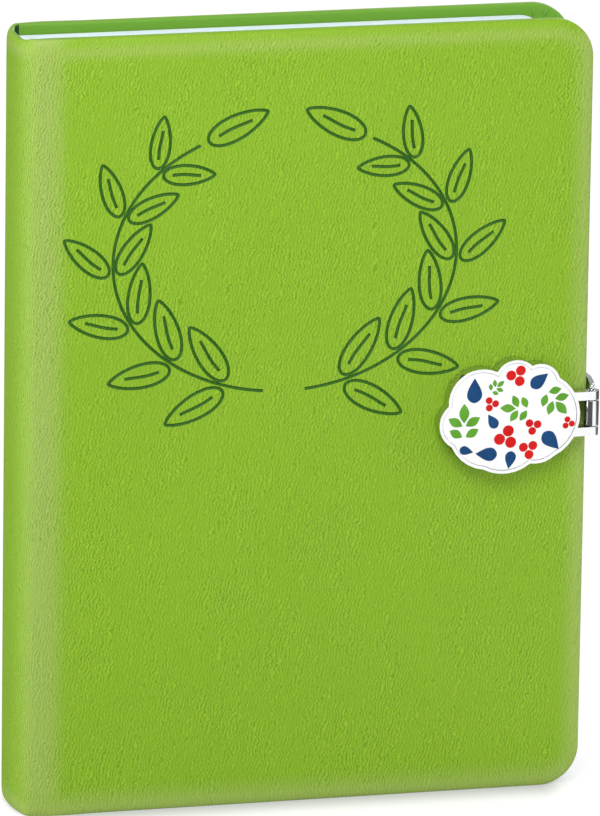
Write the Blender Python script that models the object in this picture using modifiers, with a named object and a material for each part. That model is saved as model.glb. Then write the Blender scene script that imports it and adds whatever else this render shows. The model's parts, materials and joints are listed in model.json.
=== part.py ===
"""Magnetic closure journal: a padded leatherette case, a sewn text block and a hinged magnetic clasp.

Metres, +Z up. The journal stands on its tail edge with the spine at -X, the fore-edge at +X and
the front cover facing -Y. The origin lies on the ground under the middle of the whole object.
"""
import math

import bmesh
import bpy
from mathutils import Matrix, Vector

MM = 0.001

# Text block: the pages set the size of everything around them
PAGE_WIDTH = 148 * MM
PAGE_HEIGHT = 210 * MM
PAGE_CORNER = 8 * MM
SECTION = 1.55 * MM
SECTION_COUNT = 10
LEAF = 0.2 * MM
TURNING_LEAVES = 3
LEAF_TIPPED_STRIP = 5 * MM
LEAF_STAGGER = 0.5 * MM
PAGE_GAP = 0.1 * MM
MULL = 0.3 * MM
MULL_FROM_ENDS = 10 * MM

# Case: one leatherette wrap over foam and board, turned in round the edges
HEAD_SQUARE = 3 * MM
FORE_SQUARE = 7.2 * MM
COVER_CORNER = 11 * MM
COVER_CLEARANCE = 0.25 * MM
LEATHERETTE = 0.8 * MM
FOAM = 0.9 * MM
BOARD = 1.6 * MM
TURN_IN = 0.4 * MM
TURN_IN_WIDTH = 13 * MM
TURN_IN_CORNER = 3 * MM
PASTEDOWN = 0.25 * MM
PASTEDOWN_CLEARANCE = 0.15 * MM
GLUE_LINE = 0.1 * MM
OUTER_EDGE_ROUND = 2 * MM
INNER_EDGE_ROUND = 0.6 * MM
SPINE_SWELL = 5.5 * MM
SPINE_FULLNESS = 2.6
SPINE_CARD = 0.8 * MM
SPINE_CARD_REACH = math.radians(40)
SPINE_HOLLOW = 2.3 * MM
HINGE_CLEARANCE = 0.15 * MM
BOARD_FROM_HINGE = 5 * MM

# Clasp plate: a lobed casting with an enamelled face, held on the front cover by two posts
PLATE_LIFT = 0.15 * MM
PLATE_THICKNESS = 4.5 * MM
RIM_WIDTH = 0.9 * MM
RIM_HEIGHT = 0.1 * MM
ENAMEL = 0.5 * MM
POSTS_FROM_FORE_EDGE = 24 * MM
POST_SPACING = 14 * MM
SET_CLEARANCE = 0.1 * MM
CLASP_BELOW_MIDDLE = 1.3 * MM

# Round lobes of the plate, anticlockwise: across from the fore-edge, up from the pin's middle, radius
RIGHT_LOBE = (-15.8 * MM, 0.0 * MM, 12.4 * MM)
UPPER_RIGHT_LOBE = (-15.0 * MM, 9.0 * MM, 5.8 * MM)
UPPER_LOBE = (-21.7 * MM, 9.9 * MM, 6.3 * MM)
UPPER_LEFT_LOBE = (-31.4 * MM, 4.7 * MM, 9.4 * MM)
LEFT_LOBE = (-36.3 * MM, -1.3 * MM, 7.0 * MM)
LOWER_LEFT_LOBE = (-29.2 * MM, -2.6 * MM, 11.6 * MM)
LOWER_LOBE = (-24.8 * MM, -3.4 * MM, 12.2 * MM)
LOWER_RIGHT_LOBE = (-15.9 * MM, -4.9 * MM, 8.3 * MM)
LOBES = (RIGHT_LOBE, UPPER_RIGHT_LOBE, UPPER_LOBE, UPPER_LEFT_LOBE,
         LEFT_LOBE, LOWER_LEFT_LOBE, LOWER_LOBE, LOWER_RIGHT_LOBE)

# Clasp hinge: lugs on the plate, and a pin for the strap's barrel
PIN_RADIUS = 1.0 * MM
PIN_CLEARANCE = 0.06 * MM
PIN_END_ROUND = 0.25 * MM
BARREL_LENGTH = 7.0 * MM
BARREL_INSET = 0.1 * MM
LUG_HEIGHT = 2.4 * MM
LUG_CLEARANCE = 0.3 * MM
LUG_STEP = 0.15 * MM
LUG_ROOT = 9 * MM

# Clasp strap, which goes round the fore-edge, and the bar magnet set in its inner face
STRAP = 1.4 * MM
STRAP_HEIGHT = 16 * MM
STRAP_CORNER = 5 * MM
STRAP_FROM_LUGS = 0.9 * MM
STRAP_CLEARANCE = 0.25 * MM
MAGNET = 0.9 * MM
MAGNET_WIDTH = 4 * MM
MAGNET_HEIGHT = 10 * MM
MAGNET_CORNER = 0.8 * MM

# Clasp catch: a steel angle riveted to the back cover, with its flange over the fore-edge
CATCH_LIFT = 0.15 * MM
CATCH_BASE = 1.2 * MM
CATCH_FLANGE = 0.8 * MM
CATCH_BEND = 2 * MM
CATCH_LENGTH = 15 * MM
CATCH_HEIGHT = 18 * MM
CATCH_CORNER = 4 * MM
CATCH_FROM_PAGES = 0.25 * MM
RIVET_FROM_FORE_EDGE = 9.5 * MM
RIVET_SPACING = 9 * MM
RIVET_RADIUS = 1.2 * MM
RIVET_HEAD_RADIUS = 2.2 * MM
RIVET_HEAD = 1.0 * MM
RIVET_PEEN_RADIUS = 1.7 * MM
RIVET_PEEN = 0.4 * MM
RIVET_CLEARANCE = 0.1 * MM
WASHER = 0.4 * MM
WASHER_RADIUS = 2.6 * MM

# Smoothness of round stretches
CORNER_STEPS = 8
EDGE_STEPS = 3
SPINE_STEPS = 28
ROUND_SIDES = 24
DOME_STEPS = 4
ARC_STEP = math.radians(12)
SHARP_ANGLE = math.radians(35)

# What follows from the sizes above
COVER_THICKNESS = LEATHERETTE + FOAM + BOARD + TURN_IN + 3 * GLUE_LINE
LEAF_PITCH = LEAF + PAGE_GAP
SECTION_PITCH = SECTION + PAGE_GAP
LEAVES_DEPTH = (TURNING_LEAVES + 1) * LEAF_PITCH
SECTIONS_DEPTH = SECTION_COUNT * SECTION_PITCH
BLOCK_DEPTH = LEAVES_DEPTH + SECTIONS_DEPTH + LEAF_PITCH
CASE_DEPTH = BLOCK_DEPTH + 2 * (COVER_THICKNESS + COVER_CLEARANCE)
SPINE_BUILD_UP = LEATHERETTE + GLUE_LINE + SPINE_CARD + SPINE_HOLLOW + MULL + GLUE_LINE
COVER_WIDTH = SPINE_BUILD_UP + PAGE_WIDTH + FORE_SQUARE
COVER_HEIGHT = PAGE_HEIGHT + 2 * HEAD_SQUARE

LUG_RADIUS = PLATE_THICKNESS / 2 - LUG_STEP
BARREL_RADIUS = PLATE_THICKNESS / 2 - BARREL_INSET
LUG_FROM_MIDDLE = BARREL_LENGTH / 2 + LUG_CLEARANCE
PIN_LENGTH = 2 * (LUG_FROM_MIDDLE + LUG_HEIGHT)
STRAP_FROM_FORE_EDGE = CATCH_LIFT + CATCH_FLANGE + STRAP_CLEARANCE
STRAP_PAST_FORE_EDGE = STRAP_FROM_FORE_EDGE + STRAP

SPINE_X = -(COVER_WIDTH + STRAP_PAST_FORE_EDGE) / 2
FORE_X = SPINE_X + COVER_WIDTH
PAGE_BACK_X = SPINE_X + SPINE_BUILD_UP
PAGE_FORE_X = PAGE_BACK_X + PAGE_WIDTH
HINGE_X = SPINE_X + SPINE_SWELL + HINGE_CLEARANCE
FRONT_Y = -CASE_DEPTH / 2
BACK_Y = CASE_DEPTH / 2
BLOCK_FRONT_Y = FRONT_Y + COVER_THICKNESS + COVER_CLEARANCE
BOARD_INNER_DEPTH = COVER_THICKNESS - TURN_IN - GLUE_LINE
WASHER_DEPTH = BOARD_INNER_DEPTH - RIVET_PEEN - SET_CLEARANCE

CLASP_Z = COVER_HEIGHT / 2 - CLASP_BELOW_MIDDLE
PLATE_BACK_Y = FRONT_Y - PLATE_LIFT
PLATE_FRONT_Y = PLATE_BACK_Y - PLATE_THICKNESS
PLATE_MIDDLE_X = FORE_X - POSTS_FROM_FORE_EDGE
STRAP_INNER_X = FORE_X + STRAP_FROM_FORE_EDGE
STRAP_OUTER_X = FORE_X + STRAP_PAST_FORE_EDGE
STRAP_END_Y = -PLATE_FRONT_Y
PIN_X = STRAP_OUTER_X - BARREL_RADIUS
PIN_Y = (PLATE_FRONT_Y + PLATE_BACK_Y) / 2
CATCH_BASE_Y = (BACK_Y + CATCH_LIFT, BACK_Y + CATCH_LIFT + CATCH_BASE)
FLANGE_X = (FORE_X + CATCH_LIFT, FORE_X + CATCH_LIFT + CATCH_FLANGE)
FLANGE_END_Y = BACK_Y - COVER_THICKNESS + CATCH_FROM_PAGES
TOUCH = 0.001 * MM
CUT_PAST = 1 * MM


# Blender set-up

def clear_scene():
    for obj in list(bpy.data.objects):
        bpy.data.objects.remove(obj, do_unlink=True)


def make_collection(name):
    collection = bpy.data.collections.new(name)
    bpy.context.scene.collection.children.link(collection)
    return collection


def make_material(name, colour, roughness, metallic=0.0):
    material = bpy.data.materials.new(name)
    material.use_nodes = True
    shader = material.node_tree.nodes["Principled BSDF"]
    shader.inputs["Base Color"].default_value = (*colour, 1.0)
    shader.inputs["Roughness"].default_value = roughness
    shader.inputs["Metallic"].default_value = metallic
    return material


def make_axis(name, x, y, parent=None):
    """An empty on an upright joint axis. The pieces that turn about it are its children."""
    axis = bpy.data.objects.new(name, None)
    PARTS.objects.link(axis)
    axis.location = (x, y, CLASP_Z)
    bpy.context.view_layer.update()
    if parent:
        carry(axis, parent)
    return axis


def carry(obj, parent):
    obj.parent = parent
    obj.matrix_parent_inverse = parent.matrix_world.inverted()
    bpy.context.view_layer.update()


def make_object(name, bm, collection):
    mesh = bpy.data.meshes.new(name)
    bmesh.ops.recalc_face_normals(bm, faces=bm.faces)
    bm.to_mesh(mesh)
    bm.free()
    obj = bpy.data.objects.new(name, mesh)
    collection.objects.link(obj)
    return obj


def make_part(name, bm, material, axis=None):
    part = make_object(name, bm, PARTS)
    part.data.materials.append(material)
    part.data.shade_smooth()
    part.data.set_sharp_from_angle(angle=SHARP_ANGLE)
    if axis:
        carry(part, axis)
    return part


def make_tool(name, bm):
    """A shape that cuts or joins a part and isn't a part itself."""
    tool = make_object(name, bm, CUTTERS)
    tool.hide_render = True
    tool.display_type = "WIRE"
    return tool


def combine(part, operation, tools):
    for tool in tools:
        modifier = part.modifiers.new(tool.name, "BOOLEAN")
        modifier.operation = operation
        modifier.object = tool


def cut(part, *tools):
    combine(part, "DIFFERENCE", tools)


def join(part, *tools):
    combine(part, "UNION", tools)


# Shapes

def same(a, b):
    return abs(a - b) < TOUCH


def box(x, y, z):
    """A box between two places along each axis, each pair given low to high."""
    bm = bmesh.new()
    bmesh.ops.create_cube(bm, size=1)
    for vert in bm.verts:
        vert.co = Vector([span[side > 0] for span, side in zip((x, y, z), vert.co)])
    return bm


def round_edges(bm, chosen, radius, steps):
    edges = [edge for edge in bm.edges if chosen(edge.verts[0].co, edge.verts[1].co)]
    bmesh.ops.bevel(bm, geom=edges, offset=radius, segments=steps, profile=0.5, affect="EDGES")


def leaf_shape(x, y, z, corner):
    """A flat leaf with its two fore-edge corners rounded."""
    bm = box(x, y, z)
    round_edges(bm, lambda a, b: same(a.x, x[1]) and same(b.x, x[1]) and same(a.z, b.z), corner, CORNER_STEPS)
    return bm


def round_rim(bm, y, hinge_x, radius):
    """Rounds the edge of the face at y, apart from its side at the hinge."""
    def on_rim(a, b):
        at_hinge = same(a.x, hinge_x) and same(b.x, hinge_x)
        return same(a.y, y) and same(b.y, y) and not at_hinge
    round_edges(bm, on_rim, radius, EDGE_STEPS)


def cylinder(centre, axis, radius, length, sides):
    """A closed cylinder along axis, X, Y or Z, with its middle at centre."""
    bm = bmesh.new()
    bmesh.ops.create_cone(bm, cap_ends=True, segments=sides, radius1=radius, radius2=radius, depth=length)
    turn = Vector((0, 0, 1)).rotation_difference(Vector(axis)).to_matrix().to_4x4()
    bmesh.ops.transform(bm, matrix=Matrix.Translation(centre) @ turn, verts=bm.verts)
    return bm


def extrude_outline(outline, thickness, frame):
    """A flat filled outline made solid. The frame places its plane, half the thickness to each side."""
    curve = bpy.data.curves.new("outline", "CURVE")
    curve.dimensions = "2D"
    curve.fill_mode = "BOTH"
    curve.extrude = thickness / 2
    spline = curve.splines.new("POLY")
    spline.points.add(len(outline) - 1)
    for point, (across, up) in zip(spline.points, outline):
        point.co = (across, up, 0, 1)
    spline.use_cyclic_u = True
    holder = bpy.data.objects.new("outline", curve)
    CUTTERS.objects.link(holder)
    bpy.context.view_layer.update()
    mesh = bpy.data.meshes.new_from_object(holder.evaluated_get(bpy.context.evaluated_depsgraph_get()))
    bm = bmesh.new()
    bm.from_mesh(mesh)
    bmesh.ops.remove_doubles(bm, verts=bm.verts, dist=TOUCH)
    bmesh.ops.transform(bm, matrix=frame, verts=bm.verts)
    bpy.data.objects.remove(holder, do_unlink=True)
    bpy.data.curves.remove(curve)
    bpy.data.meshes.remove(mesh)
    return bm


def upright_frame(y):
    """Places an outline drawn across and up in the plane at y, facing the front."""
    return Matrix.Translation((0, y, 0)) @ Matrix.Rotation(math.radians(90), 4, "X")


def side_frame(x):
    """Places an outline drawn along the depth and up in the plane at x."""
    return Matrix.Translation((x, 0, 0)) @ Matrix(((0, 0, 1, 0), (1, 0, 0, 0), (0, 1, 0, 0), (0, 0, 0, 1)))


def plan_frame(z):
    """Places an outline drawn in plan at height z."""
    return Matrix.Translation((0, 0, z))


def arc(centre, radius, start, end):
    """Points along a circle from one angle to another, both ends included."""
    steps = max(1, math.ceil(abs(end - start) / ARC_STEP))
    angles = [start + (end - start) * step / steps for step in range(steps + 1)]
    return [(centre[0] + radius * math.cos(a), centre[1] + radius * math.sin(a)) for a in angles]


def rounded_rectangle(low, high, corner):
    quarter = math.pi / 2
    corners = ((high[0] - corner, high[1] - corner), (low[0] + corner, high[1] - corner),
               (low[0] + corner, low[1] + corner), (high[0] - corner, low[1] + corner))
    points = []
    for turn, centre in enumerate(corners):
        points += arc(centre, corner, turn * quarter, (turn + 1) * quarter)
    return points


def outer_crossing(first, second, middle):
    """Where two circles cross, on the side away from the middle."""
    gap = Vector(second[:2]) - Vector(first[:2])
    along = (gap.length_squared + first[2] ** 2 - second[2] ** 2) / (2 * gap.length)
    aside = math.sqrt(first[2] ** 2 - along ** 2)
    foot = Vector(first[:2]) + gap.normalized() * along
    normal = Vector((-gap.y, gap.x)).normalized()
    return max((foot + normal * aside, foot - normal * aside), key=lambda point: (point - middle).length)


def lobed_outline(inset):
    """The plate's outline: an arc of each lobe, from its notch with the last to its notch with the next."""
    lobes = [(FORE_X + across, CLASP_Z + up, radius - inset) for across, up, radius in LOBES]
    middle = Vector((PLATE_MIDDLE_X, CLASP_Z))
    notches = [outer_crossing(lobe, lobes[(i + 1) % len(lobes)], middle) for i, lobe in enumerate(lobes)]
    points = []
    for i, (across, up, radius) in enumerate(lobes):
        start = notches[i - 1] - Vector((across, up))
        end = notches[i] - Vector((across, up))
        begin = math.atan2(start.y, start.x)
        sweep = (math.atan2(end.y, end.x) - begin) % (2 * math.pi)
        points += arc((across, up), radius, begin, begin + sweep)[:-1]
    return points


def rod(x, z, y, radius):
    """A closed cylinder along the depth, between two places given low to high."""
    return cylinder((x, sum(y) / 2, z), (0, 1, 0), radius, y[1] - y[0], ROUND_SIDES)


def turned(name, profile, closed, material, centre, axis):
    """A turned piece on an axis along +Y. The profile gives radius and place along the axis."""
    bm = bmesh.new()
    verts = [bm.verts.new((radius, 0, along)) for radius, along in profile]
    pairs = list(zip(verts, verts[1:]))
    if closed:
        pairs.append((verts[-1], verts[0]))
    for pair in pairs:
        bm.edges.new(pair)
    part = make_part(name, bm, material)
    screw = part.modifiers.new("turn", "SCREW")
    screw.steps = ROUND_SIDES
    screw.render_steps = ROUND_SIDES
    screw.use_merge_vertices = True
    screw.merge_threshold = TOUCH
    screw.use_smooth_shade = True
    part.location = centre
    part.rotation_euler = (math.radians(-90), 0, 0)
    bpy.context.view_layer.update()
    carry(part, axis)


# Case

def layer(side, outer_depth, inner_depth):
    """Low and high Y of a layer of the front (-1) or back (1) cover, given by depths from its outer face."""
    return sorted(side * (CASE_DEPTH / 2 - depth) for depth in (outer_depth, inner_depth))


def inset_height(inset):
    return inset, COVER_HEIGHT - inset


def make_cover(name, side, axis):
    """One cover: leatherette with its turn-ins, and the foam, board and pastedown that it holds."""
    foam_at = LEATHERETTE + GLUE_LINE
    board_at = foam_at + FOAM + GLUE_LINE
    turn_in_at = board_at + BOARD + GLUE_LINE
    wrap_x = (HINGE_X + HINGE_CLEARANCE, FORE_X)
    outer_y = side * CASE_DEPTH / 2
    inner_y = side * (CASE_DEPTH / 2 - COVER_THICKNESS)

    wrap = leaf_shape(wrap_x, layer(side, 0, COVER_THICKNESS), inset_height(0), COVER_CORNER)
    round_rim(wrap, outer_y, wrap_x[0], OUTER_EDGE_ROUND)
    round_rim(wrap, inner_y, wrap_x[0], INNER_EDGE_ROUND)
    leatherette = make_part(name + "_leatherette", wrap, LEATHERETTE_GREEN, axis)
    pocket = leaf_shape((wrap_x[0] - CUT_PAST, FORE_X - LEATHERETTE), layer(side, LEATHERETTE, turn_in_at),
                        inset_height(LEATHERETTE), COVER_CORNER - LEATHERETTE)
    window_x = (wrap_x[0] - CUT_PAST, FORE_X - TURN_IN_WIDTH)
    window = leaf_shape(window_x, layer(side, board_at, COVER_THICKNESS + CUT_PAST),
                        inset_height(TURN_IN_WIDTH), TURN_IN_CORNER)
    cut(leatherette, make_tool(name + "_pocket", pocket), make_tool(name + "_window", window))

    filling_x = (HINGE_X + BOARD_FROM_HINGE, FORE_X - foam_at)
    corner = COVER_CORNER - foam_at
    foam = leaf_shape(filling_x, layer(side, foam_at, foam_at + FOAM), inset_height(foam_at), corner)
    board = leaf_shape(filling_x, layer(side, board_at, board_at + BOARD), inset_height(foam_at), corner)
    foam = make_part(name + "_foam", foam, FOAM_WHITE, axis)
    board = make_part(name + "_board", board, BOARD_GREY, axis)

    lining_x = (HINGE_X + HINGE_CLEARANCE, FORE_X - TURN_IN_WIDTH - PASTEDOWN_CLEARANCE)
    lining_z = inset_height(TURN_IN_WIDTH + PASTEDOWN_CLEARANCE)
    lining = leaf_shape(lining_x, layer(side, turn_in_at, turn_in_at + PASTEDOWN), lining_z,
                        TURN_IN_CORNER - PASTEDOWN_CLEARANCE)
    make_part(name.replace("cover", "pastedown"), lining, ENDPAPER, axis)
    return leatherette, foam, board


def fix_through(name, side, layers, x, z, axis):
    """Bores a cover for a rivet or a post, and sets its washer in the inner side of the board."""
    leatherette, foam, board = layers
    radius = RIVET_RADIUS + RIVET_CLEARANCE
    skin = rod(x, z, layer(side, -CUT_PAST, LEATHERETTE + GLUE_LINE), radius)
    hole = rod(x, z, layer(side, LEATHERETTE, BOARD_INNER_DEPTH + GLUE_LINE), radius)
    seat = rod(x, z, layer(side, WASHER_DEPTH - WASHER - SET_CLEARANCE, BOARD_INNER_DEPTH + GLUE_LINE),
               WASHER_RADIUS + RIVET_CLEARANCE)
    hole = make_tool(name + "_hole", hole)
    cut(leatherette, make_tool(name + "_skin_hole", skin))
    cut(foam, hole)
    cut(board, hole, make_tool(name + "_washer_seat", seat))
    low, high = layer(side, WASHER_DEPTH - WASHER, WASHER_DEPTH)
    ring = [(radius, high), (WASHER_RADIUS, high), (WASHER_RADIUS, low), (radius, low)]
    turned(name + "_washer", ring, True, STEEL, (x, 0, z), axis)


def spine_curve(gap, reach):
    """The spine's oval plan moved in from its outer face by gap, as far round as reach on both sides."""
    power = 2 / SPINE_FULLNESS
    half_depth = CASE_DEPTH / 2
    points = []
    for step in range(SPINE_STEPS + 1):
        turn = reach * (2 * step / SPINE_STEPS - 1)
        across = math.cos(turn)
        along = abs(math.sin(turn))
        outer = Vector((SPINE_SWELL * across ** power, half_depth * along ** power))
        normal = Vector((across ** (2 - power) / SPINE_SWELL, along ** (2 - power) / half_depth))
        point = outer - normal.normalized() * gap
        points.append((SPINE_X + SPINE_SWELL - point.x, math.copysign(point.y, turn)))
    return points


def spine_strip(outer_gap, inner_gap, reach, height):
    """A strip of one thickness that follows the spine, between two heights."""
    outline = spine_curve(outer_gap, reach) + spine_curve(inner_gap, reach)[::-1]
    return extrude_outline(outline, height[1] - height[0], plan_frame(sum(height) / 2))


def make_spine():
    """The wrap over the rounded spine, and the card that stiffens it."""
    wrap = spine_strip(0, LEATHERETTE, math.pi / 2, inset_height(0))
    make_part("spine_leatherette", wrap, LEATHERETTE_GREEN)
    card_at = LEATHERETTE + GLUE_LINE
    card = spine_strip(card_at, card_at + SPINE_CARD, SPINE_CARD_REACH, inset_height(LEATHERETTE))
    make_part("spine_card", card, BOARD_GREY)


# Text block

def page_leaf(back_x, front_y, thickness):
    height = (HEAD_SQUARE, HEAD_SQUARE + PAGE_HEIGHT)
    return leaf_shape((back_x, PAGE_FORE_X), (front_y, front_y + thickness), height, PAGE_CORNER)


def make_turning_leaves():
    """The front flyleaf and the first leaves, tipped on beside the fold, each on its own axis."""
    for number in range(TURNING_LEAVES + 1):
        name = f"turning_leaf_{number}" if number else "front_flyleaf"
        hinge_x = PAGE_BACK_X + LEAF_TIPPED_STRIP + number * LEAF_STAGGER
        front_y = BLOCK_FRONT_Y + number * LEAF_PITCH
        axis = make_axis(name + "_axis", hinge_x, front_y + LEAF / 2)
        make_part(name, page_leaf(hinge_x, front_y, LEAF), PAPER if number else ENDPAPER, axis)


def make_sections():
    """The folded sections, sewn at their rounded backs and lined with mull, and the back flyleaf."""
    first_y = BLOCK_FRONT_Y + LEAVES_DEPTH
    for number in range(SECTION_COUNT):
        bm = page_leaf(PAGE_BACK_X, first_y + number * SECTION_PITCH, SECTION)
        round_edges(bm, lambda a, b: same(a.x, PAGE_BACK_X) and same(b.x, PAGE_BACK_X) and same(a.y, b.y),
                    SECTION / 2 - TOUCH, EDGE_STEPS)
        make_part(f"page_section_{number + 1:02d}", bm, PAPER)
    make_part("back_flyleaf", page_leaf(PAGE_BACK_X, first_y + SECTIONS_DEPTH, LEAF), ENDPAPER)
    mull_x = (PAGE_BACK_X - GLUE_LINE - MULL, PAGE_BACK_X - GLUE_LINE)
    mull_z = (HEAD_SQUARE + MULL_FROM_ENDS, HEAD_SQUARE + PAGE_HEIGHT - MULL_FROM_ENDS)
    make_part("spine_mull", box(mull_x, (first_y, first_y + SECTIONS_DEPTH), mull_z), MULL_GAUZE)


# Clasp

def lug_heights():
    """Middles of the upper and lower lug."""
    offset = LUG_FROM_MIDDLE + LUG_HEIGHT / 2
    return CLASP_Z + offset, CLASP_Z - offset


def pin_bore(name):
    radius = PIN_RADIUS + PIN_CLEARANCE
    bore = cylinder((PIN_X, PIN_Y, CLASP_Z), (0, 0, 1), radius, PIN_LENGTH + CUT_PAST, ROUND_SIDES)
    return make_tool(name, bore)


def make_pin(axis):
    bm = cylinder((PIN_X, PIN_Y, CLASP_Z), (0, 0, 1), PIN_RADIUS, PIN_LENGTH, ROUND_SIDES)
    round_edges(bm, lambda a, b: same(a.z, b.z), PIN_END_ROUND, EDGE_STEPS)
    make_part("clasp_pin", bm, CHROME, axis)


def make_plate(cover_layers, axis):
    """The lobed casting with its lugs and posts, and the enamel in its face."""
    casting = extrude_outline(lobed_outline(0), PLATE_THICKNESS, upright_frame(PIN_Y))
    plate = make_part("clasp_plate", casting, CHROME, axis)
    quarter = math.pi / 2
    lug = arc((PIN_X, PIN_Y), LUG_RADIUS, -quarter, quarter)
    lug += [(FORE_X - LUG_ROOT, PIN_Y + LUG_RADIUS), (FORE_X - LUG_ROOT, PIN_Y - LUG_RADIUS)]
    for name, z in zip(("upper_lug", "lower_lug"), lug_heights()):
        join(plate, make_tool(name, extrude_outline(lug, LUG_HEIGHT, plan_frame(z))))
    for name, offset in (("left_post", -POST_SPACING / 2), ("right_post", POST_SPACING / 2)):
        x = PLATE_MIDDLE_X + offset
        join(plate, make_tool(name, rod(x, CLASP_Z, (PIN_Y, FRONT_Y + BOARD_INNER_DEPTH), RIVET_RADIUS)))
        fix_through(name, -1, cover_layers, x, CLASP_Z, axis)
    cut(plate, pin_bore("lug_bore"))

    recess = RIM_HEIGHT + ENAMEL + SET_CLEARANCE
    recess_frame = upright_frame(PLATE_FRONT_Y + recess - (recess + CUT_PAST) / 2)
    face = extrude_outline(lobed_outline(RIM_WIDTH), recess + CUT_PAST, recess_frame)
    cut(plate, make_tool("enamel_recess", face))
    enamel_frame = upright_frame(PLATE_FRONT_Y + RIM_HEIGHT + ENAMEL / 2)
    enamel = extrude_outline(lobed_outline(RIM_WIDTH + SET_CLEARANCE), ENAMEL, enamel_frame)
    make_part("clasp_enamel", enamel, ENAMEL_WHITE, axis)


def make_strap(axis):
    """The strap round the fore-edge: a barrel on the pin at one end, a magnet at the other."""
    half_height = STRAP_HEIGHT / 2
    start_y = PIN_Y + LUG_RADIUS + STRAP_FROM_LUGS
    outline = rounded_rectangle((start_y, CLASP_Z - half_height),
                                (STRAP_END_Y, CLASP_Z + half_height), STRAP_CORNER)
    middle_x = (STRAP_INNER_X + STRAP_OUTER_X) / 2
    strap = make_part("clasp_strap", extrude_outline(outline, STRAP, side_frame(middle_x)), CHROME, axis)
    half_barrel = BARREL_LENGTH / 2
    tail = box((STRAP_INNER_X + TOUCH, STRAP_OUTER_X - TOUCH), (PIN_Y, start_y + STRAP_CORNER),
               (CLASP_Z - half_barrel + TOUCH, CLASP_Z + half_barrel - TOUCH))
    barrel = cylinder((PIN_X, PIN_Y, CLASP_Z), (0, 0, 1), BARREL_RADIUS, BARREL_LENGTH, ROUND_SIDES)
    join(strap, make_tool("strap_tail", tail), make_tool("strap_barrel", barrel))
    cut(strap, pin_bore("barrel_bore"))

    low = (FLANGE_END_Y, CLASP_Z - MAGNET_HEIGHT / 2)
    high = (FLANGE_END_Y + MAGNET_WIDTH, CLASP_Z + MAGNET_HEIGHT / 2)
    bar = rounded_rectangle(low, high, MAGNET_CORNER)
    magnet = extrude_outline(bar, MAGNET, side_frame(STRAP_INNER_X + MAGNET / 2))
    make_part("clasp_magnet", magnet, STEEL, axis)
    room = rounded_rectangle([end - SET_CLEARANCE for end in low], [end + SET_CLEARANCE for end in high],
                             MAGNET_CORNER + SET_CLEARANCE)
    depth = MAGNET + SET_CLEARANCE + CUT_PAST
    pocket = extrude_outline(room, depth, side_frame(STRAP_INNER_X - CUT_PAST + depth / 2))
    cut(strap, make_tool("magnet_pocket", pocket))


def make_catch(cover_layers, axis):
    """The angle on the back cover that the magnet holds on to, and its two rivets."""
    left = FORE_X - CATCH_LENGTH
    angle = [(left, CATCH_BASE_Y[0]), (FLANGE_X[0], CATCH_BASE_Y[0]),
             (FLANGE_X[0], FLANGE_END_Y), (FLANGE_X[1], FLANGE_END_Y)]
    angle += arc((FLANGE_X[1] - CATCH_BEND, CATCH_BASE_Y[1] - CATCH_BEND), CATCH_BEND, 0, math.pi / 2)
    angle += [(left, CATCH_BASE_Y[1])]
    angle = extrude_outline(angle, CATCH_HEIGHT + 2 * CUT_PAST, plan_frame(CLASP_Z))
    catch = make_part("clasp_catch", angle, CHROME, axis)
    half_height = CATCH_HEIGHT / 2
    outline = rounded_rectangle((left, CLASP_Z - half_height),
                                (FLANGE_X[1] + CATCH_CORNER + CUT_PAST, CLASP_Z + half_height), CATCH_CORNER)
    outline_y = (FLANGE_END_Y - CUT_PAST, CATCH_BASE_Y[1] + CUT_PAST)
    outline = extrude_outline(outline, outline_y[1] - outline_y[0], upright_frame(sum(outline_y) / 2))
    combine(catch, "INTERSECT", [make_tool("catch_outline", outline)])

    rivet_x = FORE_X - RIVET_FROM_FORE_EDGE
    for name, offset in (("upper_rivet", RIVET_SPACING / 2), ("lower_rivet", -RIVET_SPACING / 2)):
        z = CLASP_Z + offset
        hole_y = (CATCH_BASE_Y[0] - CUT_PAST, CATCH_BASE_Y[1] + CUT_PAST)
        cut(catch, make_tool(name + "_catch_hole", rod(rivet_x, z, hole_y, RIVET_RADIUS + RIVET_CLEARANCE)))
        fix_through(name, 1, cover_layers, rivet_x, z, axis)
        make_rivet(name, (rivet_x, 0, z), axis)


def make_rivet(name, centre, axis):
    """A rivet with a domed head on the catch, peened over its washer."""
    head_base = CATCH_BASE_Y[1] + SET_CLEARANCE
    tail = BACK_Y - BOARD_INNER_DEPTH
    angles = [step * math.pi / 2 / DOME_STEPS for step in range(DOME_STEPS - 1, -1, -1)]
    dome = [(0, head_base + RIVET_HEAD)]
    dome += [(RIVET_HEAD_RADIUS * math.cos(a), head_base + RIVET_HEAD * math.sin(a)) for a in angles]
    shank = [(RIVET_RADIUS, head_base), (RIVET_RADIUS, tail + RIVET_PEEN)]
    peen = [(RIVET_PEEN_RADIUS, tail + RIVET_PEEN), (RIVET_PEEN_RADIUS, tail), (0, tail)]
    turned(name, dome + shank + peen, False, CHROME, centre, axis)


clear_scene()
PARTS = make_collection("magnetic_closure_journal")
CUTTERS = make_collection("cutters")
LEATHERETTE_GREEN = make_material("lime_leatherette", (0.24, 0.43, 0.03), 0.5)
FOAM_WHITE = make_material("white_foam", (0.85, 0.85, 0.82), 0.9)
BOARD_GREY = make_material("grey_board", (0.42, 0.40, 0.37), 0.9)
ENDPAPER = make_material("endpaper", (0.86, 0.86, 0.82), 0.8)
PAPER = make_material("page_paper", (0.84, 0.88, 0.90), 0.8)
MULL_GAUZE = make_material("mull_gauze", (0.80, 0.76, 0.66), 0.95)
CHROME = make_material("bright_chrome", (0.80, 0.81, 0.82), 0.12, 1.0)
STEEL = make_material("plain_steel", (0.55, 0.56, 0.58), 0.35, 1.0)
ENAMEL_WHITE = make_material("white_enamel", (0.86, 0.87, 0.85), 0.15)

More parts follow.
